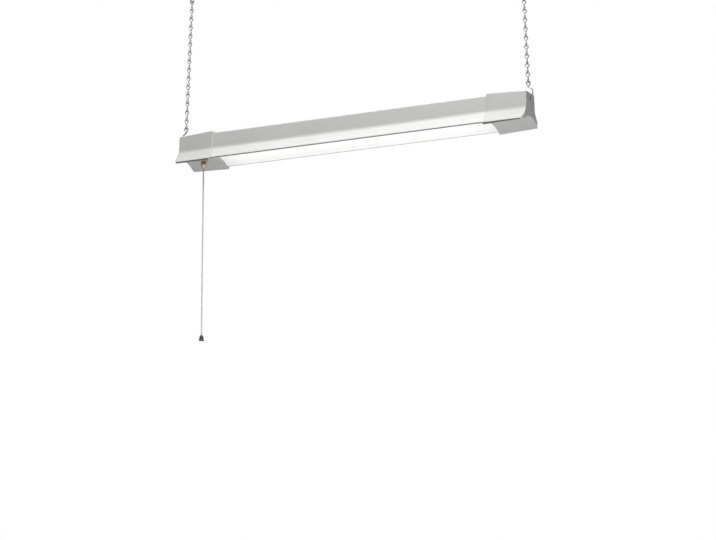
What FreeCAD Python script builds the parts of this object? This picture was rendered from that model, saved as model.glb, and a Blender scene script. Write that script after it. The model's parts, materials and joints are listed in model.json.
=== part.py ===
import FreeCAD, Part
import Sketcher
import math
import os

# A hanging shop light, in millimetres. X runs along the light, with the pull switch at the -X end,
# Y runs from the front to the back and Z is up. Everything is first modelled about the height of the
# housing's lips (Z = 0) and then hung below the ceiling, where the row's origin is.

os.makedirs("parts", exist_ok=True)
doc = FreeCAD.newDocument("hanging_shop_light")
Vector = FreeCAD.Vector
Rotation = FreeCAD.Rotation
Placement = FreeCAD.Placement

SIZES = {
    # the light
    "light_length": 600,
    "cap_length": 64,
    "cap_overlap": 16,
    "sheet_wall": 1.2,
    "cap_wall": 2.2,
    # the housing's section
    "lip_half": 31.25,
    "lip_height": 1.6,
    "lip_flat": 2.5,
    "lip_undercut": 0.4,
    "top_half": 17,
    "side_half": 18.6,
    "top_level": 46,
    "flare_level": 19.4,
    "arch_height": 9.2,
    "lens_half": 28.2,
    "lens_wall": 1.4,
    "lens_flange_reach": 1.1,
    "lens_flange_level": 0.9,
    "lens_flange_thickness": 1,
    # the caps' sections, at the inner edge and at the outer end
    "cap_inner_lip_half": 34.75,
    "cap_inner_lip_level": -3.35,
    "cap_inner_lip_height": 3.2,
    "cap_inner_arch_height": 9.2,
    "cap_inner_top_half": 19.8,
    "cap_inner_side_half": 21.2,
    "cap_inner_top_level": 48.8,
    "cap_outer_lip_half": 32,
    "cap_outer_lip_level": -1.6,
    "cap_outer_lip_height": 2,
    "cap_outer_arch_height": 10.6,
    "cap_outer_top_half": 16.5,
    "cap_outer_side_half": 18.2,
    "cap_outer_top_level": 46.3,
    "cap_floor_level": 11.2,
    "cap_corner_radius": 6.5,
    "cap_edge_chamfer": 1.4,
    # the tray, board and driver
    "tray_length": 496,
    "tray_width": 33,
    "tray_thickness": 1,
    "tray_level": 18.6,
    "board_length": 488,
    "board_width": 16,
    "board_thickness": 1.2,
    "chip_length": 3.5,
    "chip_width": 2.8,
    "chip_height": 0.7,
    "chip_count": 27,
    "chip_pitch": 18,
    "driver_length": 124,
    "driver_width": 26,
    "driver_height": 22,
    "driver_wall": 1.4,
    "driver_board_thickness": 1.6,
    "block_length": 24,
    "block_width": 18,
    "block_height": 13,
    "lead_diameter": 1.8,
    # the pull switch
    "switch_inset": 36,
    "switch_width": 20,
    "switch_height": 22,
    "switch_wall": 1.5,
    "bushing_radius": 4.5,
    "bushing_bore_radius": 1.7,
    "bushing_end_level": -3,
    "nose_end_level": -6,
    "washer_radius": 7,
    "washer_thickness": 0.8,
    "nut_flats": 11.4,
    "nut_thickness": 2.8,
    "ring_nut_radius": 5.9,
    "ring_nut_thickness": 3.4,
    "drum_radius": 5,
    "drum_width": 7,
    "axle_radius": 1.25,
    "axle_clearance": 0.05,
    # the cord and its bell
    "cord_diameter": 2.2,
    "cord_length": 276,
    "knot_radius": 2,
    "bell_radius": 4.3,
    "bell_height": 8.6,
    # the chains and hooks
    "chain_inset": 3,
    "chain_lean_degrees": 2,
    "link_count": 15,
    "link_pitch": 14.3,
    "link_wire_radius": 0.8,
    "link_half_width": 2.9,
    "link_span": 16,
    "joint_gap": 0.32,
    "hook_wire_radius": 1,
    "hook_eye_half_width": 3,
    "hook_eye_height": 9.2,
    "hook_eye_level": 55.5,
    "hook_bulge": 4,
    "hook_hole_radius": 2.3,
    "hook_wire_level": 38.5,
    "ceiling_wire_radius": 1.25,
    "ceiling_hook_radius": 6,
    "ceiling_shank_radius": 1.7,
    "ceiling_shank_length": 18,
    # fasteners and the cable inlet
    "screw_head_radius": 2.8,
    "screw_head_height": 1.8,
    "screw_radius": 1.5,
    "cap_screw_length": 5.6,
    "inlet_level": 24,
    "inlet_radius": 3.5,
    "inlet_hole_radius": 5,
    "inlet_flange_radius": 6.6,
    "inlet_flange": 1.4,
}

sheet = doc.addObject("Spreadsheet::Sheet", "Sizes")
for row, (alias, value) in enumerate(SIZES.items(), 1):
    sheet.set(f"A{row}", alias)
    sheet.set(f"B{row}", str(value))
    sheet.setAlias(f"B{row}", alias)
doc.recompute()

subparts = {}
deliberate_gap = 0.02


def value(expression):
    """The number that a word of the sheet, or a sum of such words, stands for."""
    return float(sheet.evalExpression(str(expression)))


def named(alias):
    return "Sizes." + alias


def keep(label, item):
    """Count an object of the document as a sub-part, which is written to its own file."""
    item.Label = label
    subparts[label] = item
    return item


def box(label, sizes, centre, store=True):
    """A box whose three sizes come from the sheet, centred in X and Y on `centre`, its base at Z."""
    item = doc.addObject("Part::Box", label)
    for prop, expression in zip(("Length", "Width", "Height"), sizes):
        item.setExpression(prop, str(expression))
    length, width = value(sizes[0]), value(sizes[1])
    item.Placement.Base = Vector(centre[0] - length / 2, centre[1] - width / 2, centre[2])
    return keep(label, item) if store else item


def cylinder(label, radius, height, base, axis=Vector(0, 0, 1), store=True):
    """A cylinder from `base` along `axis`, its radius and height from the sheet."""
    item = doc.addObject("Part::Cylinder", label)
    item.setExpression("Radius", str(radius))
    item.setExpression("Height", str(height))
    item.Placement = Placement(Vector(*base), Rotation(Vector(0, 0, 1), axis))
    return keep(label, item) if store else item


def cut(label, base, tools, store=True):
    """The base less every tool."""
    joined = tools[0]
    if len(tools) > 1:
        joined = doc.addObject("Part::MultiFuse", label + "_tools")
        joined.Shapes = tools
    item = doc.addObject("Part::Cut", label)
    item.Base = base
    item.Tool = joined
    return keep(label, item) if store else item


def fused(label, pieces, store=True):
    item = doc.addObject("Part::MultiFuse", label)
    item.Shapes = pieces
    return keep(label, item) if store else item


def feature(label, shape, store=True):
    item = doc.addObject("Part::Feature", label)
    item.Shape = shape
    return keep(label, item) if store else item


def sketch(body, role, points):
    """A closed polygon in one of the body's own planes. Each corner is held by the sheet."""
    item = body.newObject("Sketcher::SketchObject", body.Name + "_profile")
    plane = [origin for origin in body.Origin.OriginFeatures if origin.Role == role][0]
    item.AttachmentSupport = [(plane, "")]
    item.MapMode = "FlatFace"
    corners = [Vector(value(across), value(up), 0) for across, up in points]
    for index, corner in enumerate(corners):
        item.addGeometry(Part.LineSegment(corner, corners[(index + 1) % len(corners)]), False)
    for index in range(len(corners)):
        item.addConstraint(Sketcher.Constraint("Coincident", index, 2, (index + 1) % len(corners), 1))
    for index, (corner, (across, up)) in enumerate(zip(corners, points)):
        for kind, number, expression in (("DistanceX", corner.x, across), ("DistanceY", corner.y, up)):
            held = item.addConstraint(Sketcher.Constraint(kind, -1, 1, index, 1, number))
            item.setExpression(f"Constraints[{held}]", str(expression))
    return item


def turned(label, points, base=(0, 0, 0), axis=Vector(0, 0, 1), store=True):
    """A body turned about its own Z axis from a profile of (radius, height) corners."""
    body = doc.addObject("PartDesign::Body", label)
    profile = sketch(body, "XZ_Plane", points)
    turn = body.newObject("PartDesign::Revolution", label + "_turn")
    turn.Profile = profile
    turn.ReferenceAxis = (profile, ["V_Axis"])
    turn.Angle = 360
    body.Placement = Placement(Vector(*base), Rotation(Vector(0, 0, 1), axis))
    return keep(label, body) if store else body


def padded(label, points, height, base=(0, 0, 0), axis=Vector(0, 0, 1), store=True):
    """A body raised along its own Z axis from a polygon of (x, y) corners."""
    body = doc.addObject("PartDesign::Body", label)
    pad = body.newObject("PartDesign::Pad", label + "_pad")
    pad.Profile = sketch(body, "XY_Plane", points)
    pad.setExpression("Length", str(height))
    body.Tip = pad
    body.Placement = Placement(Vector(*base), Rotation(Vector(0, 0, 1), axis))
    return keep(label, body) if store else body


def rounded_edges(points, radii, closed=False):
    """Line and arc edges through the points, each corner rounded to its radius (0 keeps it sharp)."""
    count = len(points)
    trims = []
    for index, (corner, radius) in enumerate(zip(points, radii)):
        before, after = points[index - 1], points[(index + 1) % count]
        if radius == 0 or (not closed and index in (0, count - 1)):
            trims.append((corner, None, corner))
            continue
        back, ahead = (before - corner).normalize(), (after - corner).normalize()
        half_inside = back.getAngle(ahead) / 2
        reach = radius / math.tan(half_inside)
        middle_direction = (back + ahead).normalize()
        middle = corner + middle_direction * (radius / math.sin(half_inside) - radius)
        trims.append((corner + back * reach, middle, corner + ahead * reach))
    edges = []
    for index, (start, middle, end) in enumerate(trims):
        if middle is not None:
            edges.append(Part.Arc(start, middle, end).toShape())
        if closed or index < count - 1:
            following = trims[(index + 1) % count][0]
            if (following - end).Length > 1e-6:
                edges.append(Part.LineSegment(end, following).toShape())
    return edges


def tube(points, radii, wire_radius):
    """A round wire along straight runs joined by tangent arcs."""
    edges = rounded_edges(points, radii)
    path = Part.Wire(edges)
    start, direction = points[0], points[1] - points[0]
    circle = Part.Wire([Part.makeCircle(wire_radius, start, direction)])
    solid = path.makePipeShell([circle], True, False)
    expected = math.pi * wire_radius ** 2 * path.Length
    if abs(solid.Volume - expected) > 0.02 * expected:
        raise ValueError("a tube's volume is not its section times its length")
    return solid


# ---- the hat-shaped section that the housing and both caps share ----

FLARE_RADIUS = 12
TOP_RADIUS = 2.2
LIP_RADIUS = 0.7


def hat_outline(x, sizes, grow=0.0, lip_grow=None):
    """The closed outline in the plane X = x: flat top, sides, flares, undercut lips and the arch beneath."""
    top_half, side_half, lip_half, top_level, flare_level, lip_level, lip_height, arch_height = sizes
    lip_grow = grow if lip_grow is None else lip_grow
    arch_half = lip_half - value("lip_flat")
    right = [
        (top_half + grow, top_level + grow),
        (side_half + grow, flare_level),
        (lip_half + lip_grow, lip_level + lip_height),
        (lip_half + lip_grow - lip_height * value("lip_undercut"), lip_level),
    ]
    corners = [Vector(x, arch_half, lip_level)]
    corners += [Vector(x, y, z) for y, z in reversed(right)]
    corners += [Vector(x, -y, z) for y, z in right]
    corners += [Vector(x, -arch_half, lip_level)]
    side_radii = [LIP_RADIUS, LIP_RADIUS, FLARE_RADIUS, TOP_RADIUS]
    edges = rounded_edges(corners, [0] + side_radii + side_radii[::-1] + [0])
    crown = Vector(x, 0, lip_level + arch_height)
    edges.append(Part.Arc(corners[0], crown, corners[-1]).toShape())
    return Part.Wire(Part.__sortEdges__(edges))


def extruded(label, outline, length, store=True):
    """A closed outline run along +X for a length from the sheet."""
    flat = feature(label + "_outline", outline, store=False)
    item = doc.addObject("Part::Extrusion", label)
    item.Base = flat
    item.DirMode = "Custom"
    item.Dir = Vector(1, 0, 0)
    item.Solid = True
    item.setExpression("LengthFwd", str(length))
    return keep(label, item) if store else item


half_length = value("light_length") / 2
cap_inner_x = half_length - value("cap_length")
housing_end_x = cap_inner_x + value("cap_overlap")
housing_length = "Sizes.light_length - 2 * Sizes.cap_length + 2 * Sizes.cap_overlap"


def housing_outline(x, grow=0.0):
    words = ("top_half", "side_half", "lip_half", "top_level", "flare_level")
    sizes = [value(word) for word in words] + [0.0, value("lip_height"), value("arch_height")]
    return hat_outline(x, sizes, grow)


# ---- housing: one folded channel, open beneath between its two lips ----

wall = value("sheet_wall")
mouth_half = value("lens_half") + deliberate_gap
mouth_top = 3.6
arch_half = value("lip_half") - value("lip_flat")
arch_radius = (arch_half ** 2 + value("arch_height") ** 2) / (2 * value("arch_height"))


def arch_level(y, above=0.0):
    """The height of the arched underside above the lips at y, or of a like arc outside it."""
    return value("arch_height") - arch_radius + math.sqrt((arch_radius + above) ** 2 - y ** 2)


cavity_right = [
    (value("top_half") - wall, value("top_level") - wall),
    (value("side_half") - wall, value("flare_level") - 1),
    (mouth_half, mouth_top),
    (mouth_half, -1),
]
cavity_points = [Vector(-housing_end_x - 1, y, z) for y, z in cavity_right]
cavity_points += [Vector(-housing_end_x - 1, -y, z) for y, z in reversed(cavity_right)]
cavity_outline = Part.makePolygon(cavity_points + cavity_points[:1])
housing_outer = extruded("housing_outer", housing_outline(-housing_end_x), housing_length, store=False)
housing_cavity = extruded("housing_cavity", cavity_outline, housing_length + " + 2", store=False)
# each lip has a groove, where the diffuser's flange slides in from the end
lens_groove = box(
    "lens_groove",
    (housing_length + " + 2", 2 * (value("lens_half + lens_flange_reach") + deliberate_gap),
     value("lens_flange_thickness") + 2 * deliberate_gap),
    (0, 0, value("lens_flange_level") - deliberate_gap), store=False,
)
cap_screw_x = cap_inner_x + 8
cap_screw_y = 8


def screw_holes(label, radius, depth, level, sides=(-1, 1)):
    """Upright holes where the cap screws pass, at one or both ends."""
    holes = []
    for side in sides:
        for row in (-1, 1):
            name = f"{label}_{len(holes) + 1}"
            place = (side * cap_screw_x, row * cap_screw_y, level)
            holes.append(cylinder(name, radius, depth, place, store=False))
    return holes


housing_shell = cut(
    "housing_shell", housing_outer,
    [housing_cavity, lens_groove] + screw_holes("housing_screw_hole", named("screw_radius"), 6, 42),
    store=False,
)
# two ledges along the inside carry the tray
ledge_reach = 3.2
ledge_thickness = 1.0
ledge_y = value("side_half") - wall - ledge_reach / 2 + 1.1
ledges = []
for side in (-1, 1):
    place = (0, side * ledge_y, value("tray_level") - ledge_thickness)
    ledges.append(
        box(f"ledge_{side}", ("Sizes.tray_length", ledge_reach, ledge_thickness), place, store=False)
    )
fused("housing", [housing_shell] + ledges)

# ---- diffuser: an opal strip that follows the arch, with a flange in each lip's groove ----

lens_half = value("lens_half")
lens_length = housing_length + " - 1"
lens_start = -value(lens_length) / 2


def lens_outline(x):
    """An arched strip with a thin flange along each edge, in the plane X = x."""
    flange_half = lens_half + value("lens_flange_reach")
    flange_low = value("lens_flange_level")
    flange_high = flange_low + value("lens_flange_thickness")
    wall_up = value("lens_wall")
    lower = [
        (lens_half, arch_level(lens_half)),
        (lens_half, flange_low),
        (flange_half, flange_low),
        (flange_half, flange_high),
        (lens_half, flange_high),
        (lens_half, arch_level(lens_half, wall_up)),
    ]
    left = [Vector(x, -y, z) for y, z in lower]
    right = [Vector(x, y, z) for y, z in lower]
    crown = Vector(x, 0, arch_level(0))
    crown_high = Vector(x, 0, arch_level(0, wall_up))
    edges = [Part.Arc(left[0], crown, right[0]).toShape()]
    edges += [Part.LineSegment(a, b).toShape() for a, b in zip(right, right[1:])]
    edges.append(Part.Arc(right[-1], crown_high, left[-1]).toShape())
    edges += [Part.LineSegment(a, b).toShape() for a, b in zip(left[::-1], left[::-1][1:])]
    return Part.Wire(Part.__sortEdges__(edges))


extruded("diffuser", lens_outline(lens_start), lens_length)

# ---- tray, LED board and chips ----

tray_level = value("tray_level")
tray_top = tray_level + value("tray_thickness")
driver_x = -130
lead_hole_x = -52
lead_y = 4
tray_blank = box(
    "tray_blank", ("Sizes.tray_length", "Sizes.tray_width", "Sizes.tray_thickness"), (0, 0, tray_level),
    store=False,
)
tray_holes = []
for side in (-1, 1):
    name = f"tray_lead_hole_{side}"
    tray_holes.append(cylinder(name, 1.6, 3, (lead_hole_x, side * lead_y, tray_level - 1), store=False))
    name = f"tray_screw_hole_{side}"
    place = (driver_x + side * (value("driver_length") / 2 + 3.5), 0, tray_level - 1)
    tray_holes.append(cylinder(name, named("screw_radius"), 3, place, store=False))
cut("mounting_tray", tray_blank, tray_holes)
board_level = tray_level - value("board_thickness")
box("led_board", ("Sizes.board_length", "Sizes.board_width", "Sizes.board_thickness"), (0, 0, board_level))


def led_chips():
    """A row of small chips under the board."""
    chips = []
    count = int(value("chip_count"))
    for index in range(count):
        x = (index - (count - 1) / 2) * value("chip_pitch")
        corner = Vector(
            x - value("chip_length") / 2, -value("chip_width") / 2, board_level - value("chip_height")
        )
        chips.append(Part.makeBox(value("chip_length"), value("chip_width"), value("chip_height"), corner))
    return Part.makeCompound(chips)


feature("led_chips", led_chips())

# ---- driver: base, board, parts and cover, above the tray ----

driver_wall = value("driver_wall")
driver_base_height = 5
base_outer = box(
    "driver_base_outer", ("Sizes.driver_length", "Sizes.driver_width", driver_base_height),
    (driver_x, 0, tray_top), store=False,
)
base_inner = box(
    "driver_base_inner",
    ("Sizes.driver_length - 2 * Sizes.driver_wall", "Sizes.driver_width - 2 * Sizes.driver_wall", 5),
    (driver_x, 0, tray_top + driver_wall), store=False,
)
driver_screw_x = value("driver_length") / 2 + 3.5
ears = box(
    "driver_ears", ("Sizes.driver_length + 14", 7, "Sizes.driver_wall"), (driver_x, 0, tray_top), store=False
)
base_body = fused("driver_base_body", [base_outer, ears], store=False)
ear_holes = [
    cylinder(f"ear_hole_{end}", named("screw_radius"), 4, (driver_x + end * driver_screw_x, 0, tray_top - 1),
             store=False)
    for end in (-1, 1)
]
cut("driver_base", base_body, [base_inner] + ear_holes)
driver_board_level = tray_top + driver_wall
driver_board_top = driver_board_level + value("driver_board_thickness")
box(
    "driver_board",
    ("Sizes.driver_length - 2 * Sizes.driver_wall - 0.4", "Sizes.driver_width - 2 * Sizes.driver_wall - 0.4",
     "Sizes.driver_board_thickness"),
    (driver_x, 0, driver_board_level),
)
core = box("transformer_core", (18, 16, 5), (driver_x + 12, 0, driver_board_top + 4), store=False)
coil = cylinder("transformer_coil", 6.4, 13, (driver_x + 12, 0, driver_board_top), store=False)
fused("driver_transformer", [core, coil])


def upright_cans():
    """Two upright capacitors, a choke and a small flat one, standing on the driver board."""
    cans = []
    for offset, radius, height in ((-42, 5.0, 14.5), (-28, 4.0, 12.0)):
        cans.append(Part.makeCylinder(radius, height, Vector(driver_x + offset, 0, driver_board_top)))
    return Part.makeCompound(cans)


feature("driver_capacitors", upright_cans())
turned(
    "driver_choke",
    [(1.6, 0), (5.2, 0), (5.2, 1), (3.4, 1), (3.4, 9), (5.2, 9), (5.2, 10), (1.6, 10)],
    (driver_x + 36, 0, driver_board_top),
)
cover_outer = box(
    "driver_cover_outer",
    ("Sizes.driver_length", "Sizes.driver_width", "Sizes.driver_height - 5"),
    (driver_x, 0, tray_top + driver_base_height), store=False,
)
cover_inner = box(
    "driver_cover_inner",
    ("Sizes.driver_length - 2 * Sizes.driver_wall", "Sizes.driver_width - 2 * Sizes.driver_wall",
     "Sizes.driver_height - 5 - Sizes.driver_wall"),
    (driver_x, 0, tray_top + driver_base_height), store=False,
)
driver_lead_level = tray_top + 8
driver_end = value("driver_length") / 2
lead_holes = []
for end in (-1, 1):
    for side in (-1, 1):
        start = (driver_x + end * driver_end - 4, side * lead_y, driver_lead_level)
        name = f"driver_lead_hole_{len(lead_holes) + 1}"
        lead_holes.append(cylinder(name, "Sizes.lead_diameter / 2", 8, start, Vector(1, 0, 0), store=False))
cut("driver_cover", cover_outer, [cover_inner] + lead_holes)

# ---- terminal block, earth tag and the leads inside the housing ----

block_x = -222
block_half = value("block_length") / 2
block_blank = box(
    "block_blank", ("Sizes.block_length", "Sizes.block_width", "Sizes.block_height"),
    (block_x, 0, tray_top), store=False,
)
block_top = tray_top + value("block_height")
block_rows = (-5.6, 0, 5.6)
screw_wells = [
    cylinder(f"screw_well_{index}", 1.9, 6, (block_x, y, block_top - 4), store=False)
    for index, y in enumerate(block_rows, 1)
]
cut("terminal_block", block_blank, screw_wells)


def slotted_screw(head_radius, head_height, shank_radius, shank_length):
    """A screw with a slotted flat head at Z = 0 and its shank below."""
    head = Part.makeCylinder(head_radius, head_height)
    shank = Part.makeCylinder(shank_radius, shank_length, Vector(0, 0, -shank_length))
    slot = Part.makeBox(2 * head_radius + 1, 0.7, head_height, Vector(-head_radius - 0.5, -0.35, head_height * 0.5))
    return head.fuse(shank).cut(slot)


def placed_screws(places, *screw_sizes):
    """Identical screws at several places, as a group of solids."""
    screws = []
    for place in places:
        screw = slotted_screw(*screw_sizes)
        screw.translate(Vector(*place))
        screws.append(screw)
    return Part.makeCompound(screws)


feature("terminal_screws", placed_screws([(block_x, y, block_top - 3) for y in block_rows], 1.8, 1.2, 0.9, 1))
driver_screw_places = [
    (driver_x + end * driver_screw_x, 0, tray_top + value("driver_wall")) for end in (-1, 1)
]
feature("driver_screws", placed_screws(driver_screw_places, 2.8, 1.6, value("screw_radius"), 2.4))
earth_x = -201
earth_y = 9
turned("earth_tag", [(1.5, 0), (5, 0), (5, 0.8), (1.5, 0.8)], (earth_x, earth_y, tray_top))
feature("earth_screw", placed_screws([(earth_x, earth_y, tray_top + 0.8)], 2.8, 1.8, 1.5, 0.8))


def lead(label, points, bend=3.0):
    """A round insulated lead on straight runs and tangent arcs."""
    path = [Vector(*point) for point in points]
    radii = [0] + [bend] * (len(path) - 2) + [0]
    shape = tube(path, radii, value("lead_diameter") / 2)
    return feature(label, shape)


block_lead_level = tray_top + 6
for name, y in (("driver_lead_live", -lead_y), ("driver_lead_neutral", lead_y)):
    lead(name, [
        (block_x + block_half, y, block_lead_level),
        (block_x + block_half + 9, y, block_lead_level),
        (driver_x - driver_end - 6, y, driver_lead_level),
        (driver_x - driver_end + 1.2, y, driver_lead_level),
    ], 4)
for name, y in (("led_lead_positive", -lead_y), ("led_lead_negative", lead_y)):
    lead(name, [
        (driver_x + driver_end - 1.2, y, driver_lead_level),
        (lead_hole_x, y, driver_lead_level),
        (lead_hole_x, y, tray_level),
    ], 4)
lead("earth_lead", [
    (block_x + block_half, 7.6, block_lead_level),
    (earth_x - 3.75, 7.6, block_lead_level),
    (earth_x - 3.75, 7.6, tray_top + 0.8),
], 3)

# ---- end caps: tapered sleeves with an end wall, each in one moulding ----


def cap_size(word, share):
    """A size of the cap's section, where share runs from 0 at its inner edge to 1 at its outer end."""
    inner, outer = value("cap_inner_" + word), value("cap_outer_" + word)
    return inner + (outer - inner) * share


def cap_outline(x, share, inset=0.0, lip_inset=None):
    """The cap's outline at x, drawn in by the inset along its edges."""
    words = ("top_half", "side_half", "lip_half", "top_level")
    sizes = [cap_size(word, share) for word in words] + [value("flare_level") - 0.5]
    sizes += [cap_size(word, share) for word in ("lip_level", "lip_height", "arch_height")]
    return hat_outline(x, sizes, -inset, None if lip_inset is None else -lip_inset)


def cap_room(x, share):
    """The outline of the room inside the cap, in the plane X = x."""
    thickness = value("cap_wall")
    right = [
        (cap_size("top_half", share) - thickness, cap_size("top_level", share) - thickness),
        (cap_size("side_half", share) - thickness, value("flare_level") - 2),
        (cap_size("side_half", share) + 1, value("cap_floor_level")),
    ]
    corners = [Vector(x, y, z) for y, z in right]
    corners += [Vector(x, -y, z) for y, z in reversed(right)]
    return Part.makePolygon(corners + corners[:1])


def lofted(label, outlines):
    """A straight-sided solid through the outlines, in order."""
    sections = [feature(f"{label}_{index}", outline, store=False) for index, outline in enumerate(outlines, 1)]
    item = doc.addObject("Part::Loft", label)
    item.Sections = sections
    item.Solid = True
    item.Ruled = True
    return item


def cap_plan(label, side):
    """An upright block whose plan is the cap's, with its two outer corners rounded."""
    inner_x, outer_x = side * (cap_inner_x - 1), side * half_length
    wide = 40
    end_half = value("cap_outer_lip_half")
    radius = value("cap_corner_radius")
    corner_x = side * (half_length - radius)
    corners = [
        Vector(inner_x, -wide, -10), Vector(corner_x - side * 6, -wide, -10),
        Vector(corner_x, -end_half - 0.4, -10), Vector(outer_x, -end_half + radius, -10),
        Vector(outer_x, end_half - radius, -10), Vector(corner_x, end_half + 0.4, -10),
        Vector(corner_x - side * 6, wide, -10), Vector(inner_x, wide, -10),
    ]
    bulge = radius * 0.29
    arcs = []
    for sign in (-1, 1):
        start = Vector(corner_x, sign * (end_half + 0.4), -10)
        end = Vector(outer_x, sign * (end_half - radius), -10)
        middle = Vector(outer_x - side * bulge, sign * (end_half - bulge), -10)
        arcs.append(Part.Arc(start, middle, end).toShape())
    straight = [(0, 1), (1, 2), (3, 4), (5, 6), (6, 7), (7, 0)]
    edges = [Part.LineSegment(corners[a], corners[b]).toShape() for a, b in straight]
    outline = Part.Wire(Part.__sortEdges__(edges + arcs))
    return feature(label, Part.Face(outline).extrude(Vector(0, 0, 80)), store=False)


END_ROUND = 1.6
ROUND_SHARE = 1 - END_ROUND / value("cap_length")


def end_cap(label, side, extra_tools):
    """One cap: the tapered outside, less the socket, the room, its holes and spot faces."""
    inner_x, outer_x = side * cap_inner_x, side * half_length
    chamfer = value("cap_edge_chamfer")
    outside = lofted(label + "_outside", [
        cap_outline(inner_x, 0.0, chamfer, 0.5),
        cap_outline(inner_x + side * 1.6, 1.6 / value("cap_length")),
        cap_outline(outer_x - side * END_ROUND, ROUND_SHARE),
        cap_outline(outer_x - side * END_ROUND * 0.3, 1.0, 0.35),
        cap_outline(outer_x, 1.0, 0.95),
    ])
    trimmed = doc.addObject("Part::Common", label + "_trimmed")
    trimmed.Base = outside
    trimmed.Tool = cap_plan(label + "_plan", side)
    socket_start = cap_inner_x - 1 if side > 0 else -housing_end_x
    socket = extruded(
        label + "_socket", housing_outline(socket_start, deliberate_gap), "Sizes.cap_overlap + 1", store=False
    )
    room_end_x = half_length - value("cap_wall")
    room = lofted(label + "_room", [
        cap_room(side * (housing_end_x - 0.5), 0.25),
        cap_room(side * room_end_x, (room_end_x - cap_inner_x) / value("cap_length")),
    ])
    holes = screw_holes(label + "_screw_hole", "Sizes.screw_radius + 0.1", 10, 42, (side,))
    holes += screw_holes(label + "_spot_face", "Sizes.screw_head_radius + 0.3", 6, cap_seat_level, (side,))
    hook_hole = cylinder(
        label + "_hook_hole", named("hook_hole_radius"), 8, (outer_x - 4, 0, hook_hole_level),
        Vector(1, 0, 0), store=False,
    )
    return cut(label, trimmed, [socket, room, hook_hole] + holes + extra_tools)


# the hook's wire bears on the top of its hole, so the hole's centre is a little lower than the wire
hook_hole_level = (
    value("hook_wire_level") + value("hook_wire_radius") + value("joint_gap") - value("hook_hole_radius")
)
cap_seat_level = 48.0
switch_x = -(half_length - value("switch_inset"))
bushing_shoulder = value("cap_floor_level")
washer_seat_level = 8.0
left_tools = [
    cylinder("bushing_hole", named("bushing_radius"), 20, (switch_x, 0, 0), store=False),
    cylinder("washer_seat", "Sizes.washer_radius + 0.4", "12", (switch_x, 0, washer_seat_level - 12), store=False),
    cylinder(
        "inlet_hole", named("inlet_hole_radius"), 8, (-half_length - 4, 0, value("inlet_level")),
        Vector(1, 0, 0), store=False,
    ),
]
end_cap("end_cap_left", -1, left_tools)
end_cap("end_cap_right", 1, [])

cap_screw_sizes = [value(word) for word in ("screw_head_radius", "screw_head_height", "screw_radius", "cap_screw_length")]
for name, side in (("cap_screws_left", -1), ("cap_screws_right", 1)):
    places = [(side * cap_screw_x, row * cap_screw_y, cap_seat_level) for row in (-1, 1)]
    feature(name, placed_screws(places, *cap_screw_sizes))

# ---- rubber grommet of the cable inlet, in the left end wall ----

wall_outer = value("cap_wall")
turned(
    "cable_grommet",
    [
        ("Sizes.inlet_radius", "-1 * Sizes.inlet_flange"),
        ("Sizes.inlet_flange_radius", "-1 * Sizes.inlet_flange"),
        ("Sizes.inlet_flange_radius", 0),
        ("Sizes.inlet_hole_radius", 0),
        ("Sizes.inlet_hole_radius", "Sizes.cap_wall"),
        ("Sizes.inlet_flange_radius", "Sizes.cap_wall"),
        ("Sizes.inlet_flange_radius", "Sizes.cap_wall + Sizes.inlet_flange"),
        ("Sizes.inlet_radius", "Sizes.cap_wall + Sizes.inlet_flange"),
    ],
    (-half_length, 0, value("inlet_level")), Vector(1, 0, 0),
)

# ---- pull switch: case, cover, bushing and nuts in the left cap's floor ----

case_left, case_right = switch_x - 11, switch_x + 15
case_length = case_right - case_left
case_centre = (case_left + case_right) / 2
case_bottom = bushing_shoulder
case_wall = value("switch_wall")
case_blank = box(
    "switch_case_blank", (case_length, "Sizes.switch_width", "Sizes.switch_height"),
    (case_centre, 0, case_bottom), store=False,
)
# the case is open to the front, where its cover closes it
case_room = box(
    "switch_case_room",
    (case_length - 2 * case_wall, "Sizes.switch_width", "Sizes.switch_height - 2 * Sizes.switch_wall"),
    (case_centre, -case_wall, case_bottom + case_wall), store=False,
)
drum_level = case_bottom + 12
drum_x = switch_x + value("cord_diameter") / 2 - 0.2 + value("drum_radius")
half_switch = value("switch_width") / 2
axle_hole = cylinder(
    "axle_hole", named("axle_radius"), 6, (drum_x, half_switch - 4, drum_level), Vector(0, 1, 0), store=False
)
rod_hole = cylinder(
    "rod_hole", named("bushing_bore_radius"), 6, (switch_x, 0, case_bottom - 2), store=False
)
lead_rows = (-lead_y, lead_y)
switch_lead_level = block_lead_level
case_lead_holes = [
    cylinder(f"case_lead_hole_{index}", "Sizes.lead_diameter / 2", 6, (case_right - 3, y, switch_lead_level),
             Vector(1, 0, 0), store=False)
    for index, y in enumerate(lead_rows, 1)
]
cut("switch_case", case_blank, [case_room, axle_hole, rod_hole] + case_lead_holes)
cover_blank = box(
    "switch_cover_blank",
    (case_length - 2 * case_wall, "Sizes.switch_wall", "Sizes.switch_height - 2 * Sizes.switch_wall"),
    (case_centre, -half_switch + case_wall / 2, case_bottom + case_wall), store=False,
)
cover_hole = cylinder(
    "cover_axle_hole", named("axle_radius"), 6, (drum_x, -half_switch - 1, drum_level), Vector(0, 1, 0),
    store=False,
)
cut("switch_cover", cover_blank, [cover_hole])

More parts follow.
